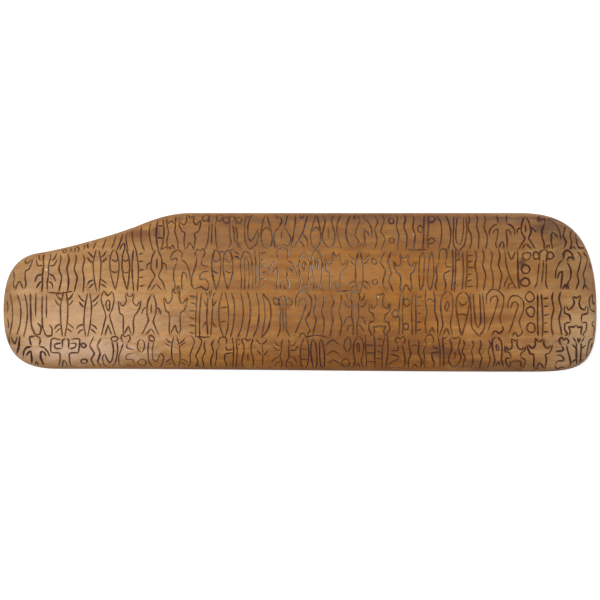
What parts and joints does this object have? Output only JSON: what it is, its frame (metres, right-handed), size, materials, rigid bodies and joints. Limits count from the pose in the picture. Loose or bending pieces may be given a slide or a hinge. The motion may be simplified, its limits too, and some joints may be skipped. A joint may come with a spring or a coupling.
{
  "type": "inscribed wooden tablet",
  "caption": "Long flat wooden board with a notched corner, rounded-over edges and rows of small incised signs running lengthwise on both faces.",
  "frame": {"origin": "centre of the board's outline, on the flat of its back face", "axes": "+X along the board towards its broad end, +Y up the face towards the edge with the notch, +Z out of the carved front face"},
  "size_m": [0.45, 0.1204, 0.02],
  "materials": {
    "oiled_wood": "satin"
  },
  "bodies": {
    "root": {"tablet": "oiled_wood"}
  },
  "joints": []
}
